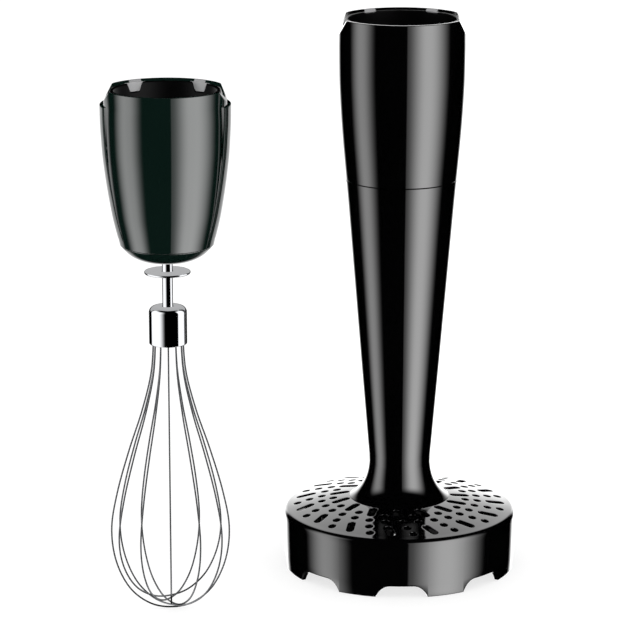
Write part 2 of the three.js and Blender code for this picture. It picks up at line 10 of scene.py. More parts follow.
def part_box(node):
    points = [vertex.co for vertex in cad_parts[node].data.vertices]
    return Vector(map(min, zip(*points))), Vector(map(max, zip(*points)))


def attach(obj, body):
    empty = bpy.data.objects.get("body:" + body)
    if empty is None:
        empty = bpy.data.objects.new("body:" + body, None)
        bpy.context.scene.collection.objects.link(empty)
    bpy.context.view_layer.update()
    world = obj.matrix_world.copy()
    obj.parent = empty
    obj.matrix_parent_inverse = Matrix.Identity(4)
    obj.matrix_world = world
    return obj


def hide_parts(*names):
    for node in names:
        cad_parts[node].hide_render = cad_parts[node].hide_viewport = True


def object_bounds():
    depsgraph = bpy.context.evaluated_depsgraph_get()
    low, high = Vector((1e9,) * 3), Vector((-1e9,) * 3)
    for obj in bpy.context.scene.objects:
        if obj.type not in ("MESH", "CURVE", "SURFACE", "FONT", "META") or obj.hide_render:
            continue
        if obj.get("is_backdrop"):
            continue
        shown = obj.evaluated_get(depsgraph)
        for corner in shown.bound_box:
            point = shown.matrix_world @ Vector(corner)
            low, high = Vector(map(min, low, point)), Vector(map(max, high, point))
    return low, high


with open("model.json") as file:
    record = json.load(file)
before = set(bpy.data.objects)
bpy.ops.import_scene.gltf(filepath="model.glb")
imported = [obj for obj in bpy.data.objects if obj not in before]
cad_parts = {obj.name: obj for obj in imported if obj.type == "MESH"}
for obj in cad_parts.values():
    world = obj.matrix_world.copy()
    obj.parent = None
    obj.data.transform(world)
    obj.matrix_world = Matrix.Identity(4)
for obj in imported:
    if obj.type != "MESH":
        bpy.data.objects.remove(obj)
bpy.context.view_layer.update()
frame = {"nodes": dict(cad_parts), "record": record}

MM = 0.001
ROUND = 192                      # columns round a large turned piece
SMALL = 96                       # columns round a small turned piece


def axis_of(node):
    low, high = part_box(node)
    return ((low[0] + high[0]) / 2, (low[1] + high[1]) / 2)


MASHER = axis_of("masher_foot")
WHISK = axis_of("whisk_rod")


# ---------------------------------------------------------------- outlines
def soften(corners, steps=5, support=0.12):
    """A closed outline of (r, z, fillet) corners with each fillet drawn as an arc."""
    points = []
    count = len(corners)
    for k, (r, z, fillet) in enumerate(corners):
        here = Vector((r, z))
        if fillet <= 0:
            points.append((r, z))
            continue
        before = Vector(corners[k - 1][:2]) - here
        after = Vector(corners[(k + 1) % count][:2]) - here
        half = before.angle(after) / 2
        reach = min(fillet / math.tan(half), 0.45 * before.length, 0.45 * after.length)
        radius = reach * math.tan(half)
        before.normalize()
        after.normalize()
        centre = here + (before + after).normalized() * (radius / math.sin(half))
        start = here + before * reach - centre
        end = here + after * reach - centre
        points.append(tuple(here + before * (reach + support)))
        for s in range(steps + 1):
            t = s / steps
            points.append(tuple(centre + start.slerp(end, t).normalized() * radius))
        points.append(tuple(here + after * (reach + support)))
    return points


def spline(points, per_span=8):
    """Catmull-Rom curve through the points, without the end points' tangents overshooting."""
    padded = [points[0]] + list(points) + [points[-1]]
    result = []
    for k in range(1, len(padded) - 2):
        p0, p1, p2, p3 = (Vector(p) for p in padded[k - 1:k + 3])
        for s in range(per_span):
            t = s / per_span
            result.append(tuple(0.5 * (2 * p1 + (p2 - p0) * t + (2 * p0 - 5 * p1 + 4 * p2 - p3) * t ** 2
                                       + (3 * p1 - p0 - 3 * p2 + p3) * t ** 3)))
    result.append(tuple(points[-1]))
    return result


def bezier(p0, p1, p2, steps):
    a, b, c = (Vector(p) for p in (p0, p1, p2))
    at = [s / steps for s in range(steps + 1)]
    return [tuple(a * (1 - t) ** 2 + b * 2 * t * (1 - t) + c * t ** 2) for t in at]


def even_angles(count):
    return [2 * math.pi * k / count for k in range(count)]


def smooth_step(low, high, value):
    t = min(1.0, max(0.0, (value - low) / (high - low)))
    return t * t * (3 - 2 * t)


# ---------------------------------------------------------------- meshes
def finish_mesh(name, bm, material, body, replaces, sharp=38):
    """Turns a bmesh in metres into a piece with smooth faces, creased where it turns sharply."""
    bmesh.ops.remove_doubles(bm, verts=bm.verts, dist=1e-7)
    bmesh.ops.dissolve_degenerate(bm, edges=bm.edges, dist=1e-8)
    bmesh.ops.recalc_face_normals(bm, faces=bm.faces)
    for face in bm.faces:
        face.smooth = True
    for edge in bm.edges:
        if len(edge.link_faces) == 2 and edge.calc_face_angle(0) > math.radians(sharp):
            edge.smooth = False
    mesh = bpy.data.meshes.new(name)
    bm.to_mesh(mesh)
    bm.free()
    piece = bpy.data.objects.new(name, mesh)
    bpy.context.scene.collection.objects.link(piece)
    for one in (material if isinstance(material, (list, tuple)) else [material]):
        mesh.materials.append(one)
    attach(piece, body)
    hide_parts(*replaces)
    return piece


def add_turned(bm, outline, at, angles, shape=None):
    """Adds a closed outline turned round an axis; shape(r, z, angle) may move a point."""
    rows = []
    for angle in angles:
        row = []
        for r, z in outline:
            if shape:
                r, z = shape(r, z, angle)
            place = (at[0] + r * math.cos(angle) * MM, at[1] + r * math.sin(angle) * MM, z * MM)
            row.append(bm.verts.new(place))
        rows.append(row)
    for k, row in enumerate(rows):
        other = rows[(k + 1) % len(rows)]
        for j in range(len(row)):
            n = (j + 1) % len(row)
            bm.faces.new((row[j], other[j], other[n], row[n]))


def turned(name, outline, at, body, replaces, material, angles=None, shape=None):
    bm = bmesh.new()
    add_turned(bm, outline, at, angles or even_angles(SMALL), shape)
    return finish_mesh(name, bm, material, body, replaces)


# ---------------------------------------------------------------- materials
def new_material(name, color, roughness, metallic=0.0, **sockets):
    material = bpy.data.materials.new(name)
    material.use_nodes = True
    shader = material.node_tree.nodes["Principled BSDF"]
    shader.inputs["Base Color"].default_value = (*color, 1)
    shader.inputs["Roughness"].default_value = roughness
    shader.inputs["Metallic"].default_value = metallic
    for socket, value in sockets.items():
        shader.inputs[socket.replace("_", " ")].default_value = value
    return material


def noise(material, scale, detail=3.0, stretch=(1, 1, 1)):
    tree = material.node_tree
    coords = tree.nodes.new("ShaderNodeTexCoord")
    mapping = tree.nodes.new("ShaderNodeMapping")
    mapping.inputs["Scale"].default_value = stretch
    texture = tree.nodes.new("ShaderNodeTexNoise")
    texture.inputs["Scale"].default_value = scale
    texture.inputs["Detail"].default_value = detail
    tree.links.new(coords.outputs["Object"], mapping.inputs["Vector"])
    tree.links.new(mapping.outputs["Vector"], texture.inputs["Vector"])
    return texture.outputs["Fac"]


def vary(material, field, socket, low, high):
    tree = material.node_tree
    shader = tree.nodes["Principled BSDF"]
    if isinstance(low, tuple):
        ramp = tree.nodes.new("ShaderNodeValToRGB")
        ramp.color_ramp.elements[0].color = (*low, 1)
        ramp.color_ramp.elements[1].color = (*high, 1)
        tree.links.new(field, ramp.inputs["Fac"])
        tree.links.new(ramp.outputs["Color"], shader.inputs[socket])
        return
    spread = tree.nodes.new("ShaderNodeMapRange")
    spread.inputs["To Min"].default_value = low
    spread.inputs["To Max"].default_value = high
    tree.links.new(field, spread.inputs["Value"])
    tree.links.new(spread.outputs["Result"], shader.inputs[socket])


def bump(material, field, strength, distance):
    tree = material.node_tree
    node = tree.nodes.new("ShaderNodeBump")
    node.inputs["Strength"].default_value = strength
    node.inputs["Distance"].default_value = distance
    tree.links.new(field, node.inputs["Height"])
    tree.links.new(node.outputs["Normal"], tree.nodes["Principled BSDF"].inputs["Normal"])


def gloss_plastic(name, dark, light):
    """Moulded high gloss: nearly flat, with a faint flow of tone and the least ripple."""
    material = new_material(name, dark, 0.05)
    vary(material, noise(material, 22, 2), "Base Color", dark, light)
    vary(material, noise(material, 160, 4), "Roughness", 0.035, 0.075)
    bump(material, noise(material, 55, 1), 0.03, 0.0006)
    return material


def satin_plastic(name, dark, light, roughness=0.42, sheen=0.5):
    """Spark-eroded moulding texture: fine grain and a slightly uneven sheen."""
    material = new_material(name, dark, roughness, Specular_IOR_Level=sheen)
    vary(material, noise(material, 90, 4), "Base Color", dark, light)
    vary(material, noise(material, 400, 3), "Roughness", roughness - 0.07, roughness + 0.1)
    bump(material, noise(material, 2600, 2), 0.25, 0.00006)
    return material


def metal(name, dark, light, rough_low, rough_high, stretch=(1, 1, 1), grain=300, relief=0.05):
    material = new_material(name, dark, rough_low, 1.0)
    vary(material, noise(material, 40, 3), "Base Color", dark, light)
    vary(material, noise(material, grain, 4, stretch), "Roughness", rough_low, rough_high)
    bump(material, noise(material, grain, 2, stretch), relief, 0.00002)
    return material


BLACK = gloss_plastic("black_gloss", (0.0004, 0.0004, 0.0005), (0.0009, 0.0009, 0.001))
GREEN_BLACK = gloss_plastic("green_black_gloss", (0.0022, 0.0075, 0.0058), (0.0034, 0.0095, 0.0075))
SATIN = satin_plastic("black_satin", (0.0007, 0.0007, 0.0008), (0.0016, 0.0016, 0.0018), 0.42, 0.03)
LATCH = satin_plastic("latch_pocket", (0.26, 0.26, 0.265), (0.36, 0.36, 0.365), 0.38)
DARK = satin_plastic("dark_nylon", (0.03, 0.032, 0.035), (0.05, 0.052, 0.056), 0.5)
NYLON = satin_plastic("nylon", (0.66, 0.64, 0.57), (0.74, 0.72, 0.66), 0.48)
RUBBER = satin_plastic("rubber", (0.012, 0.012, 0.013), (0.022, 0.022, 0.023), 0.75)
CHROME = metal("chrome", (0.74, 0.75, 0.77), (0.8, 0.81, 0.83), 0.03, 0.07, (1, 1, 0.05), 500, 0.02)
WIRE = metal("wire", (0.16, 0.163, 0.17), (0.24, 0.245, 0.255), 0.1, 0.2, (1, 1, 1), 700, 0.06)
STEEL = metal("steel", (0.42, 0.43, 0.45), (0.52, 0.53, 0.55), 0.22, 0.36, (1, 1, 14), 260, 0.2)
BRONZE = metal("bronze", (0.42, 0.25, 0.1), (0.52, 0.32, 0.14), 0.3, 0.46, (1, 1, 1), 900, 0.3)

SLOT_MATERIAL = {
    "black_gloss": BLACK, "green_black_gloss": GREEN_BLACK, "black_satin": SATIN, "dark_nylon": DARK,
    "nylon": NYLON, "rubber": RUBBER, "chrome": CHROME, "wire": WIRE, "steel": STEEL, "bronze": BRONZE,
}


def dress_cad_nodes():
    for part in frame["record"]["subparts"]:
        node = frame["nodes"][part["node"]]
        node.data.materials.clear()
        node.data.materials.append(SLOT_MATERIAL[part["material_slot"]])


# ---------------------------------------------------------------- mouths
POCKET_X = 13.4                  # middle of a latch pocket, from the axis
POCKET_TOP_HALF = 3.25
POCKET_LOW_HALF = 2.0
COLLAR_WALL = 1.6
POCKET_ROW = 0.7                 # height of each row of faces beside a pocket
LATCH_REACH = 7                  # how far down from the rim the latch plates are light


def scoop(top_x, low_x, low_z, mouth_z, fade_z):
    """The rim's dip at the left and right: the top of the wall follows a slope across x."""
    slope = (mouth_z - low_z) / (low_x - top_x)

    def shape(r, z, angle):
        past = abs(r * math.cos(angle)) - top_x
        drop = slope * 0.5 * (past + math.sqrt(past * past + 0.02)) if past > -1.5 else 0.0
        return r, z - drop * smooth_step(fade_z, mouth_z - 0.4, z)

    return shape


def pocket_profile(x):
    """1 in the middle of a latch pocket and 0 outside it."""
    side = abs(abs(x) - POCKET_X)
    rise = (side - POCKET_LOW_HALF) / (POCKET_TOP_HALF - POCKET_LOW_HALF)
    return 1 - smooth_step(-0.35, 1.0, rise)


def fine_rear_angles(radius):
    """Even columns, with many more where the latch pockets' sides are."""
    angles = even_angles(ROUND)
    for side in (-1, 1):
        for k in range(61):
            x = side * (POCKET_X - 4 + 8 * k / 60)
            angles.append(math.pi / 2 - math.asin(x / radius))
    return sorted(set(round(a, 5) for a in angles))


def collar(name, body, node, at, outer_r, low_z, top_z, depth, dip):
    """Lining of the mouth, its rear rim cut by two latch pockets."""
    inner_r = outer_r - COLLAR_WALL
    corners = [(inner_r, low_z, 0.2), (outer_r, low_z, 0.2), (outer_r, top_z, 0.35), (inner_r, top_z, 0.5)]
    outline = soften(corners)
    middle = (low_z + top_z) / 2

    def shape(r, z, angle):
        r, z = dip(r, z, angle)
        if math.sin(angle) > 0 and z > middle:
            z -= depth * pocket_profile(r * math.cos(angle)) * smooth_step(top_z - 6, top_z - 0.6, z)
        return r, z

    # Rows between the rim and the middle give the pockets' sides something to bend.
    heights = [top_z - 0.9 - POCKET_ROW * k for k in range(8)]
    column = [(inner_r, z) for z in heights]
    outer_column = [(outer_r, z) for z in reversed(heights)]
    cut = len(outline) // 2
    outline = outline[:cut] + outer_column + outline[cut:] + column
    return turned(name, outline, at, body, [node], SATIN, fine_rear_angles(outer_r), shape)


def paint_pockets(piece, at, inner_r, low_z):
    """The wall seen through the latch pockets, and the rim's bevel above them, is a light latch plate."""
    piece.data.materials.append(LATCH)
    for face in piece.data.polygons:
        x = (face.center.x - at[0]) / MM
        y = (face.center.y - at[1]) / MM
        beyond = math.hypot(x, y) - inner_r
        half = POCKET_TOP_HALF + (0.9 if beyond < 0.15 else -0.9)
        if y > 0 and beyond < 1.1 and abs(abs(x) - POCKET_X) < half and face.center.z / MM > low_z:
            face.material_index = 1


# ---------------------------------------------------------------- masher
MASHER_MOUTH_Z = 243.9
SEAM_Z = 173.5
SEAM_R = 24.35
MASHER_BORE_R = 25.4
masher_dip = scoop(23.9, 27.7, 236.0, MASHER_MOUTH_Z, 229.0)


def masher_gearbox_shell():
    wall = 2.2
    low = SEAM_Z + 0.12
    side = spline([(SEAM_R, low), (25.1, 181.5), (25.87, 190), (26.56, 199), (27.1, 208), (27.46, 216),
                   (27.62, 225)])
    outline = soften(
        [(SEAM_R - wall, low, 0.2), (SEAM_R, low, 0.28)]
        + [(r, z, 0) for r, z in side[1:]]
        + [(27.66, 234, 0), (27.64, 238, 0), (27.6, MASHER_MOUTH_Z, 0.5), (26.7, MASHER_MOUTH_Z, 0.2)]
        + [(MASHER_BORE_R, MASHER_MOUTH_Z - 1.1, 0.3), (MASHER_BORE_R, 238, 0), (MASHER_BORE_R, 232, 0)]
        + [(25.2, 216, 0), (24.2, 199, 0)])
    piece = turned("masher_gearbox_shell_fine", outline, MASHER, "masher_gearbox", ["masher_gearbox_shell"],
                   BLACK, fine_rear_angles(MASHER_BORE_R), masher_dip)
    paint_pockets(piece, MASHER, MASHER_BORE_R, MASHER_MOUTH_Z - LATCH_REACH)


def masher_lower_shaft():
    top = SEAM_Z - 0.02
    flare = bezier((13.6, 47), (14.0, 35.6), (21.9, 30.86), 22)
    outer = [(23.5, 164, 0), (20.45, 128, 0), (17.4, 92, 0), (15.05, 65, 0), (14.3, 56, 0), (13.8, 51, 0)]
    outline = soften(
        [(SEAM_R - 2.4, top, 0.2), (SEAM_R, top, 0.28)] + outer + [(r, z, 0) for r, z in flare]
        + [(21.86, 30.8, 0), (14, 31.6, 0), (10.6, 36, 0), (10.6, 47, 0), (11.2, 56, 0)])
    turned("masher_lower_shaft_fine", outline, MASHER, "masher_body", ["masher_lower_shaft"],
           BLACK, even_angles(ROUND))


# The foot's dimensions, as in the design.
CROWN_Z = 31.9
CROWN_DROP = 0.0025
PLATE = 2.2
PLATE_IN = 21.6
PLATE_OUT = 48.4
HOLE_HALF = 1.75
HOLE_LIP = 0.13                  # fillet round each hole
HOLE_MARGIN = 0.5                # flat border beyond the fillet
SKIRT_R = 50.6
SHOULDER_R = 2.35
NOTCH_HALF = 11.3
NOTCH_BEND = 9.0
NOTCH_FLAT = 4.8
NOTCH_H = 5.0
NOTCH_FADE_Z = 6.5               # above it the skirt is as turned
NOTCHES = 8
NOTCH_STEP = 2 * math.pi / NOTCHES


def crown(r):
    return CROWN_Z - CROWN_DROP * r * r


def foot_angles():
    """Columns that fall on the corners of every notch."""
    corner = math.asin(NOTCH_HALF / SKIRT_R)
    flat = math.asin(NOTCH_FLAT / SKIRT_R)
    half = [flat * k / 4 for k in range(4)]
    half += [flat + (corner - flat) * k / 12 for k in range(12)]
    half += [corner, corner + 0.004]
    half += [corner + (NOTCH_STEP / 2 - corner) * k / 5 for k in range(1, 5)]
    offsets = sorted(set([-a for a in half] + half + [NOTCH_STEP / 2]))
    start = -math.pi / 2
    return [start + n * NOTCH_STEP + a for n in range(NOTCHES) for a in offsets]


def notch_height(angle):
    turn = (angle + math.pi / 2 + NOTCH_STEP / 2) % NOTCH_STEP - NOTCH_STEP / 2
    across = abs(SKIRT_R * math.sin(turn))
    if across >= NOTCH_HALF:
        return 0.0
    if across <= NOTCH_FLAT:
        return NOTCH_H
    # The side follows a quadratic arc that starts level and ends steeply.
    a = NOTCH_FLAT - 2 * NOTCH_BEND + NOTCH_HALF
    b = 2 * (NOTCH_BEND - NOTCH_FLAT)
    t = (-b + math.sqrt(b * b - 4 * a * (NOTCH_FLAT - across))) / (2 * a)
    return NOTCH_H * (1 - t * t)


def capsule(start, end, radius, steps=12):
    """Points round a slot from start to end; a round hole where the two are the same."""
    along = math.atan2(end[1] - start[1], end[0] - start[0]) if start != end else 0.0
    points = []
    for centre, first in ((end, along - math.pi / 2), (start, along + math.pi / 2)):
        for k in range(steps + 1):
            angle = first + math.pi * k / steps
            points.append((centre[0] + radius * math.cos(angle), centre[1] + radius * math.sin(angle)))
    if start == end:
        points = [p for k, p in enumerate(points) if k not in (steps, 2 * steps + 1)]
    return points


def drain_holes():
    """Ends of every hole and slot, along thirty swirling rays."""
    def place(ray, r):
        angle = math.radians(7.5 + 12 * ray + 0.55 * (r - 36))
        return (r * math.cos(angle), r * math.sin(angle))

    holes = []
    for ray in range(30):
        if ray % 2 == 0:
            holes.append((place(ray, 22.4 + HOLE_HALF), place(ray, 31 - HOLE_HALF)))
            rounds = (34.4, 39.8, 45.0)
        else:
            holes.append((place(ray, 38.1 + HOLE_HALF), place(ray, 46.5 - HOLE_HALF)))
            rounds = (29.3, 34.5)
        holes += [(place(ray, r), place(ray, r)) for r in rounds]
    return holes


def distance_to_segment(p, a, b):
    p, a, b = Vector(p), Vector(a), Vector(b)
    length = (b - a).length_squared
    t = 0.0 if length == 0 else min(1.0, max(0.0, (p - a).dot(b - a) / length))
    return (p - (a + (b - a) * t)).length


def add_perforated_plate(bm, at, angles, holes):
    """The domed plate between its hub and its rim: both faces, and the holes with softened lips."""
    margin = HOLE_HALF + HOLE_LIP + HOLE_MARGIN
    loops = [[(PLATE_OUT * math.cos(a), PLATE_OUT * math.sin(a)) for a in angles],
             [(PLATE_IN * math.cos(a), PLATE_IN * math.sin(a)) for a in angles]]
    loops += [capsule(a, b, margin) for a, b in holes]
    points = []
    faces = []
    for loop in loops:
        faces.append(list(range(len(points), len(points) + len(loop))))
        points += loop
    rings = 15
    for ring in range(1, rings):
        r = PLATE_IN + (PLATE_OUT - PLATE_IN) * ring / rings
        around = int(2 * math.pi * r / 1.9)
        for k in range(around):
            angle = 2 * math.pi * (k + 0.5 * (ring % 2)) / around
            p = (r * math.cos(angle), r * math.sin(angle))
            if min(distance_to_segment(p, a, b) for a, b in holes) > margin + 0.5:
                points.append(p)
    result = delaunay_2d_cdt([Vector(p) for p in points], [], faces, 0, 1e-5)
    flat, triangles, origin = result[0], result[2], result[5]

    def vertex(p, drop):
        z = crown(math.hypot(p[0], p[1])) - drop
        return bm.verts.new((at[0] + p[0] * MM, at[1] + p[1] * MM, z * MM))

    upper = [vertex(p, 0) for p in flat]
    lower = [vertex(p, PLATE) for p in flat]
    for triangle, source in zip(triangles, origin):
        if list(source) == [0]:
            bm.faces.new([upper[k] for k in triangle])
            bm.faces.new([lower[k] for k in reversed(triangle)])
    turns = (0, 0.4, 0.8, 1.2, math.pi / 2)
    lip = [(HOLE_LIP * (1 - math.sin(t)), HOLE_LIP * (1 - math.cos(t))) for t in turns]
    steps = [(HOLE_LIP + HOLE_MARGIN, 0)] + lip
    steps += [(0, PLATE * 0.5), (0, PLATE), (HOLE_LIP + HOLE_MARGIN, PLATE)]
    for a, b in holes:
        rows = [[vertex(p, drop) for p in capsule(a, b, HOLE_HALF + out)] for out, drop in steps]
        for row, below in zip(rows, rows[1:]):
            for k in range(len(row)):
                n = (k + 1) % len(row)
                bm.faces.new((row[k], row[n], below[n], below[k]))
    for v in [v for v in bm.verts if not v.link_faces]:
        bm.verts.remove(v)


def add_open_band(bm, outline, at, angles, shape=None):
    """Like add_turned, but the outline is open: it meets other faces at both ends."""
    rows = []
    for angle in angles:
        moved = [shape(r, z, angle) if shape else (r, z) for r, z in outline]
        across, along = math.cos(angle) * MM, math.sin(angle) * MM
        rows.append([bm.verts.new((at[0] + r * across, at[1] + r * along, z * MM)) for r, z in moved])
    for k, row in enumerate(rows):
        other = rows[(k + 1) % len(rows)]
        for j in range(len(row) - 1):
            bm.faces.new((row[j], other[j], other[j + 1], row[j + 1]))


def masher_foot():
    angles = foot_angles()
    bm = bmesh.new()
    add_perforated_plate(bm, MASHER, angles, drain_holes())

    # Rim, skirt and their inner faces, from the plate's upper edge round to its lower edge.
    # The rim's round shoulder runs from nearly level to upright.
    turns = [0.24 + 1.32 * k / 9 for k in range(10)]
    rim = [(PLATE_OUT, crown(PLATE_OUT))]
    rim += [(48.72 + SHOULDER_R * math.sin(t), 23.62 + SHOULDER_R * math.cos(t)) for t in turns]
    rim += [(51.05, 22), (50.9, 14), (50.75, 8), (50.67, 5.6)]
    foot = [(50.6, 0.32), (50.57, 0.16), (50.5, 0.06), (50.35, 0)]
    foot += [(48.85, 0), (48.7, 0.06), (48.63, 0.16), (48.6, 0.32)]
    inside = [(48.6, 5.6), (48.6, 14), (48.6, 22.5), (48.58, 23.3), (PLATE_OUT, crown(PLATE_OUT) - PLATE)]

    def shape(r, z, angle):
        if z >= NOTCH_FADE_Z:
            return r, z
        return r, z + notch_height(angle) * (1 - smooth_step(0.4, NOTCH_FADE_Z, z))

    add_open_band(bm, rim + foot + inside, MASHER, angles, shape)

    hub = [(PLATE_IN, crown(PLATE_IN)), (12, crown(12)), (5, crown(5)), (5, 29.1), (7.6, 29.1),
           (7.6, 24), (10, 24), (10, crown(10) - PLATE), (PLATE_IN, crown(PLATE_IN) - PLATE)]
    add_open_band(bm, hub, MASHER, angles)
    finish_mesh("masher_foot_fine", bm, BLACK, "masher_body", ["masher_foot"])


# ---------------------------------------------------------------- whisk
WHISK_MOUTH_Z = 223.9
SHOULDER = (19.35, 158.5)
WING_TOP_Z = 217.5
WING_PROUD = 1.9
WHISK_BORE_R = 23.3
whisk_dip = scoop(22.4, 25.2, 218.8, WHISK_MOUTH_Z, 212.0)
WING_SIDE = [SHOULDER, (20.7, 163.6), (22.2, 170), (23.45, 177), (24.55, 184), (25.4, 190.5),
             (26.1, 197), (26.55, 204), (26.85, 210.5), (26.92, WING_TOP_Z)]


def whisk_shell_side():
    rise = WING_TOP_Z - SHOULDER[1]
    return [(r - WING_PROUD * (z - SHOULDER[1]) / rise, z) for r, z in spline(WING_SIDE, 4)]


def whisk_gearbox_shell():
    side = whisk_shell_side()
    outline = soften(
        [(SHOULDER[0] - 2, SHOULDER[1], 0.2), (*SHOULDER, 0.35)] + [(r, z, 0) for r, z in side[1:]]
        + [(25.3, WHISK_MOUTH_Z, 0.45), (24.5, WHISK_MOUTH_Z, 0.2), (WHISK_BORE_R, WHISK_MOUTH_Z - 1, 0.3),
           (WHISK_BORE_R, 218, 0), (23.2, 212, 0), (22.8, 197, 0), (21.8, 184, 0)])
    piece = turned("whisk_gearbox_shell_fine", outline, WHISK, "whisk_gearbox", ["whisk_gearbox_shell"],
                   GREEN_BLACK, fine_rear_angles(WHISK_BORE_R), whisk_dip)
    paint_pockets(piece, WHISK, WHISK_BORE_R, WHISK_MOUTH_Z - LATCH_REACH)


def whisk_wing(side, name):
    """One side wing: a curved strip that stands proud of the shell and thins towards its foot."""
    half_w = 10.6
    lip = 0.5
    outer = [(r, z) for r, z in spline(WING_SIDE, 4) if z >= 161]
    inner = dict(zip([z for _, z in spline(WING_SIDE, 4)], [r + 0.12 for r, _ in whisk_shell_side()]))
    bm = bmesh.new()
    loops = []
    last = len(outer) - 1
    for k, (r, z) in enumerate(outer):
        r_in = inner[z]
        thick = max(0.12, r - r_in)
        bow = min(lip, thick / 2)
        edge = math.asin((half_w - bow) / r)
        loop = [(r, edge * t) for t in (s / 12 - 1 for s in range(25))]
        corner = math.asin(half_w / r)
        loop += [(r - 0.3 * bow, edge + (corner - edge) * 0.7), (r - bow, corner)]
        loop += [(r_in, -edge * t) for t in (s / 12 - 1 for s in range(25))]
        loop += [(r - bow, -corner), (r - 0.3 * bow, -edge - (corner - edge) * 0.7)]
        steps = [(0, 0.0)]
        if k == last:
            steps = [(0, -0.5), (0.02, -0.3), (0.12, -0.12), (0.35, 0.0)]
        mid = (r + r_in) / 2
        for pull, rise in steps:
            loops.append([(mid + (lr - mid) * (1 - pull), la * (1 - 0.02 * pull), z + rise)
                          for lr, la in loop])
    turn = 0.0 if side > 0 else math.pi

    def vertex(lr, la, z):
        place = (WHISK[0] + lr * math.cos(la + turn) * MM, WHISK[1] + lr * math.sin(la + turn) * MM, z * MM)
        return bm.verts.new(place)

    rows = [[vertex(*point) for point in loop] for loop in loops]
    for row, above in zip(rows, rows[1:]):
        for j in range(len(row)):
            n = (j + 1) % len(row)
            bm.faces.new((row[j], row[n], above[n], above[j]))
    for row in (rows[0], rows[-1]):
        bm.faces.new(row)
    bmesh.ops.triangulate(bm, faces=[f for f in bm.faces if len(f.verts) > 4])
    node = f"whisk_side_wing_{name}"
    finish_mesh(f"{node}_fine", bm, GREEN_BLACK, "whisk_gearbox", [node])


def whisk_base_cap():
    dome = spline([(18.6, 157.75), (16.4, 155.5), (14.2, 153.9), (11.4, 152.6), (8.0, 151.75)], 5)
    outline = soften(
        [(17, 158.38, 0), (19, 158.38, 0.25)] + [(r, z, 0) for r, z in dome]
        + [(6.9, 151.55, 0), (6.3, 151.5, 0.2), (3.2, 151.5, 0.3), (3.2, 154, 0), (5.6, 154, 0)]
        + [(5.6, 158, 0), (8.5, 158, 0), (8.5, 175, 0.2), (10.5, 175, 0.2), (10.5, 157, 0)]
        + [(15.2, 158.4, 0), (15.2, 164, 0.2), (17, 164, 0.2)])
    turned("whisk_gearbox_base_cap_fine", outline, WHISK, "whisk_gearbox", ["whisk_gearbox_base_cap"],
           GREEN_BLACK, even_angles(ROUND))


ROD_R = 2.2
ON_ROD_R = 2.32                  # bore of the pieces fixed on the rod
DISC_R = 9.6
FERRULE_R = 7.9
HEX_FROM_Z = 158.0
GROOVE_R = 1.2


def hexagonal_end(r, z, angle):
    """The rod is round below and hexagonal above; the clip's groove stays round."""
    if z <= HEX_FROM_Z or r <= GROOVE_R:
        return r, z
    turn = (angle + 1e-6) % (math.pi / 3) - math.pi / 6
    return r * math.cos(math.pi / 6) / math.cos(turn), z


def whisk_stem():
    rod = soften([
        (0, 124.3, 0), (ROD_R, 124.3, 0.3), (ROD_R, 130, 0), (ROD_R, 140, 0), (ROD_R, 150, 0),
        (ROD_R, HEX_FROM_Z, 0), (ROD_R, HEX_FROM_Z + 0.15, 0), (ROD_R, 170, 0.1), (GROOVE_R, 170, 0),
        (GROOVE_R, 171.6, 0), (ROD_R, 171.6, 0.1), (ROD_R, 174, 0.3), (0, 174, 0)])
    disc = soften([(ON_ROD_R, 146.2, 0.2), (DISC_R, 146.2, 0.42), (DISC_R, 147.2, 0.42),
                   (ON_ROD_R, 147.2, 0.2)])
    ferrule = soften([
        (7, 116.2, 0.25), (FERRULE_R, 116.2, 0.5), (FERRULE_R, 124, 0), (FERRULE_R, 132.2, 2.8),
        (ON_ROD_R, 132.2, 0.15), (ON_ROD_R, 131, 0), (6, 130.5, 0), (7, 129.2, 0)], 9)
    pieces = (("rod", rod, SMALL, hexagonal_end),
              ("stop_disc", disc, ROUND, None),
              ("ferrule", ferrule, ROUND, None))
    for name, outline, columns, shape in pieces:
        turned(f"whisk_{name}_fine", outline, WHISK, "whisk_tool", [f"whisk_{name}"], CHROME,
               even_angles(columns), shape)


WIRE_R = 0.36
HOOPS = 6
HOOP_TURN = math.radians(2.9)
HOOP_PITCH = 1.05                # height that each hoop crosses above the one before it
BELLY_Z = 36.0


def hoop_points(lift):
    """Centre line of one hoop in its own plane, as in the design."""
    low_z = WIRE_R + 0.1
    squeeze = 1 - lift / (BELLY_Z - low_z)
    belly = [(24.8, BELLY_Z), (23.2, 21.5), (17.6, 9.4), (9.2, 2.4), (0, low_z)]
    leg = [(6.2, 128.5), (6.2, 117), (7.4, 103), (11.4, 87), (17, 70), (22.1, 52)]
    leg += [(r, BELLY_Z - (BELLY_Z - z) * squeeze) for r, z in belly]
    return leg + [(-r, z) for r, z in reversed(leg[:-1])]


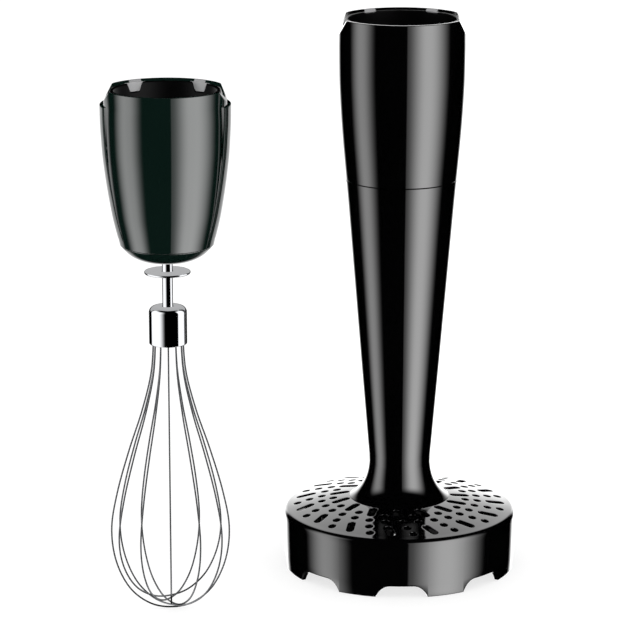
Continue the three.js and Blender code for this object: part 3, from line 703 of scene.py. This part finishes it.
def whisk_hoops():
    sides = 14
    for k in range(HOOPS):
        turn = HOOP_TURN + math.pi * k / HOOPS
        line = spline(hoop_points(HOOP_PITCH * ((HOOPS - k) % HOOPS)), 12)
        bm = bmesh.new()
        rows = []
        for j, (r, z) in enumerate(line):
            before = Vector(line[max(0, j - 1)])
            after = Vector(line[min(len(line) - 1, j + 1)])
            along = (after - before).normalized()
            row = []
            for s in range(sides):
                a = 2 * math.pi * s / sides
                flat = r - along.y * WIRE_R * math.cos(a)
                up = z + along.x * WIRE_R * math.cos(a)
                off = WIRE_R * math.sin(a)
                x = flat * math.cos(turn) - off * math.sin(turn)
                y = flat * math.sin(turn) + off * math.cos(turn)
                row.append(bm.verts.new((WHISK[0] + x * MM, WHISK[1] + y * MM, up * MM)))
            rows.append(row)
        for row, other in zip(rows, rows[1:]):
            for s in range(sides):
                n = (s + 1) % sides
                bm.faces.new((row[s], row[n], other[n], other[s]))
        bm.faces.new(rows[0])
        bm.faces.new(rows[-1])
        finish_mesh(f"whisk_hoop_{k + 1}_fine", bm, WIRE, "whisk_tool", [f"whisk_hoop_{k + 1}"])


# ---------------------------------------------------------------- stage, light and camera
def stage():
    bm = bmesh.new()
    bmesh.ops.create_grid(bm, x_segments=1, y_segments=1, size=6)
    mesh = bpy.data.meshes.new("floor")
    bm.to_mesh(mesh)
    bm.free()
    floor = bpy.data.objects.new("floor", mesh)
    floor.location.z = min(0.0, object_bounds()[0][2]) - 0.0002
    floor.visible_glossy = False
    paper = new_material("floor", (0.3, 0.3, 0.3), 0.9)
    shader = paper.node_tree.nodes["Principled BSDF"]
    shader.inputs["Emission Color"].default_value = (1, 1, 1, 1)
    shader.inputs["Emission Strength"].default_value = 0.74
    paper.cycles.emission_sampling = "NONE"
    mesh.materials.append(paper)
    bpy.context.scene.collection.objects.link(floor)
    floor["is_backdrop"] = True


def camera():
    data = bpy.data.cameras.new("camera")
    data.sensor_width = 36
    data.lens = 173.25
    view = bpy.data.objects.new("camera", data)
    view.location = (MASHER[0] - 0.0351, MASHER[1] - 1.305, 0.437)
    view.rotation_euler = (math.radians(90 - 14.05), 0, 0)
    bpy.context.scene.collection.objects.link(view)
    bpy.context.scene.camera = view


class Sky:
    """Node maths on the direction in which a reflection leaves, in degrees round and up."""

    def __init__(self, tree, direction):
        self.tree = tree
        split = tree.nodes.new("ShaderNodeSeparateXYZ")
        tree.links.new(direction, split.inputs[0])
        x, y, z = split.outputs
        self.azimuth = self.maths("ARCTAN2", x, self.maths("MULTIPLY", y, -1))
        self.height = self.maths("ARCSINE", z)
        self.rear = self.maths("ABSOLUTE", self.azimuth)

    def maths(self, operation, *values):
        node = self.tree.nodes.new("ShaderNodeMath")
        node.operation = operation
        for k, value in enumerate(values):
            if isinstance(value, (int, float)):
                node.inputs[k].default_value = value
            else:
                self.tree.links.new(value, node.inputs[k])
        return node.outputs[0]

    def ramp(self, value, start, end):
        """0 at start and 1 at end, eased; both in degrees."""
        node = self.tree.nodes.new("ShaderNodeMapRange")
        node.interpolation_type = "SMOOTHSTEP"
        low, high = min(start, end), max(start, end)
        node.inputs["From Min"].default_value = math.radians(low)
        node.inputs["From Max"].default_value = math.radians(high)
        node.inputs["To Min"].default_value = 0.0 if start < end else 1.0
        node.inputs["To Max"].default_value = 1.0 if start < end else 0.0
        self.tree.links.new(value, node.inputs["Value"])
        return node.outputs["Result"]

    def times(self, *values):
        product = values[0]
        for value in values[1:]:
            product = self.maths("MULTIPLY", product, value)
        return product

    def plus(self, *values):
        total = values[0]
        for value in values[1:]:
            total = self.maths("ADD", total, value)
        return total


def masher_light(sky):
    """Soft boxes at the front left and right, and a white wall behind."""
    edge = sky.times(sky.ramp(sky.azimuth, 7, 9), 0.1)
    body = sky.times(sky.ramp(sky.azimuth, 6, 44), 0.9)
    right = sky.times(sky.plus(edge, body), sky.ramp(sky.azimuth, 95, 48), 8.5)
    left = sky.times(sky.ramp(sky.azimuth, -108, -80), sky.ramp(sky.azimuth, -48, -77), 4.4)
    boxes = sky.times(sky.plus(right, left), sky.ramp(sky.height, 44, 22), sky.ramp(sky.height, -38, -28))
    return sky.plus(boxes, wall_behind(sky, 144, 159, 52, 44))


def wall_behind(sky, start, end, top, full):
    """White behind, brighter low down; it ends at the top and well below the horizon."""
    tone = sky.plus(sky.times(sky.ramp(sky.height, 20, 5), 1.3), 2.1)
    band = sky.times(sky.ramp(sky.height, top, full), sky.ramp(sky.height, -44, -30))
    return sky.times(sky.ramp(sky.rear, start, end), band, tone)


def whisk_light(sky):
    """The whisk's housing sees the same boxes, further round to the right."""
    edge = sky.times(sky.ramp(sky.azimuth, 12, 14), 0.14)
    body = sky.times(sky.ramp(sky.azimuth, 13, 50), 0.86)
    right = sky.times(sky.plus(edge, body), sky.ramp(sky.azimuth, 114, 62), 7.0)
    left = sky.times(sky.ramp(sky.azimuth, -112, -78), sky.ramp(sky.azimuth, -40, -70), 4.6)
    boxes = sky.times(sky.plus(right, left), sky.ramp(sky.height, 44, 22), sky.ramp(sky.height, -58, -46))
    return sky.plus(boxes, sky.times(wall_behind(sky, 126, 138, 4, -4), 0.28))


def chrome_light(sky):
    """Chrome sees white boards at both sides with black between them, and grey above the rear."""
    left = sky.times(sky.ramp(sky.azimuth, -115, -113), sky.ramp(sky.azimuth, -14, -53))
    right = sky.times(sky.ramp(sky.azimuth, 67, 68.5), sky.ramp(sky.azimuth, 127, 125.5))
    boards = sky.times(sky.plus(left, right), sky.ramp(sky.height, 60, 40), 1.3)
    above = sky.times(sky.ramp(sky.rear, 110, 130), sky.ramp(sky.height, 5, 11), 0.52)
    return sky.plus(boards, above)


DOME_Z = 0.15                    # middle of the set, in metres


def light_dome(name, at, radius, light, lit):
    """A shell round the set that only the listed pieces reflect; no two domes may touch."""
    bm = bmesh.new()
    bmesh.ops.create_uvsphere(bm, u_segments=64, v_segments=32, radius=radius)
    mesh = bpy.data.meshes.new(name)
    bm.to_mesh(mesh)
    bm.free()
    dome = bpy.data.objects.new(name, mesh)
    dome.location = (*at, DOME_Z)
    for kind in ("camera", "diffuse", "transmission", "volume_scatter", "shadow"):
        setattr(dome, f"visible_{kind}", False)

    material = bpy.data.materials.new(name)
    material.use_nodes = True
    material.cycles.emission_sampling = "NONE"
    tree = material.node_tree
    tree.nodes.clear()
    coords = tree.nodes.new("ShaderNodeTexCoord")
    unit = tree.nodes.new("ShaderNodeVectorMath")
    unit.operation = "NORMALIZE"
    tree.links.new(coords.outputs["Object"], unit.inputs[0])
    glow = tree.nodes.new("ShaderNodeEmission")
    tree.links.new(light(Sky(tree, unit.outputs["Vector"])), glow.inputs["Strength"])
    both = tree.nodes.new("ShaderNodeAddShader")
    tree.links.new(glow.outputs[0], both.inputs[0])
    tree.links.new(tree.nodes.new("ShaderNodeBsdfTransparent").outputs[0], both.inputs[1])
    output = tree.nodes.new("ShaderNodeOutputMaterial")
    tree.links.new(both.outputs[0], output.inputs["Surface"])
    mesh.materials.append(material)

    bpy.context.scene.collection.objects.link(dome)
    receivers = bpy.data.collections.new(f"{name}_receivers")
    for thing in lit:
        receivers.objects.link(thing)
    dome.light_linking.receiver_collection = receivers
    dome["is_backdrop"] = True


ROOM_LIGHT = 1.22
BRIGHT = ("whisk_rod", "whisk_stop_disc", "whisk_ferrule", "whisk_hoop", "whisk_retaining_clip")


def studio():
    """Even light for everything that is matt, and a dome of light for each kind of gloss."""
    world = bpy.data.worlds.new("studio")
    world.use_nodes = True
    bpy.context.scene.world = world
    tree = world.node_tree
    path = tree.nodes.new("ShaderNodeLightPath")
    even = tree.nodes.new("ShaderNodeMapRange")
    even.inputs["To Min"].default_value = ROOM_LIGHT
    even.inputs["To Max"].default_value = 0.0
    tree.links.new(path.outputs["Is Glossy Ray"], even.inputs["Value"])
    background = tree.nodes["Background"]
    background.inputs["Color"].default_value = (1, 1, 1, 1)
    tree.links.new(even.outputs["Result"], background.inputs["Strength"])
    bpy.context.scene.view_settings.view_transform = "Standard"

    pieces = [thing for thing in bpy.context.scene.objects if thing.type == "MESH"]
    masher = [thing for thing in pieces if thing.name.startswith("masher")]
    bright = [thing for thing in pieces if thing.name.startswith(BRIGHT)]
    housing = [thing for thing in pieces if thing.name.startswith("whisk") and thing not in bright]
    light_dome("masher_dome", MASHER, 5.0, masher_light, masher)
    light_dome("whisk_dome", WHISK, 5.5, whisk_light, housing)
    light_dome("chrome_dome", WHISK, 6.0, chrome_light, bright)
    # The two attachments stand apart: the masher doesn't mirror the whisk.
    for thing in housing + bright:
        thing.visible_glossy = False


# ---------------------------------------------------------------- the set
camera()
dress_cad_nodes()
masher_gearbox_shell()
collar("masher_coupling_collar_fine", "masher_gearbox", "masher_coupling_collar", MASHER,
       24.8, 216.8, 243.1, 0.6, masher_dip)
masher_lower_shaft()
masher_foot()
whisk_gearbox_shell()
collar("whisk_coupling_collar_fine", "whisk_gearbox", "whisk_coupling_collar", WHISK,
       22.7, 199.3, 223.1, 3.8, whisk_dip)
whisk_wing(1, "right")
whisk_wing(-1, "left")
whisk_base_cap()
whisk_stem()
whisk_hoops()
studio()
stage()
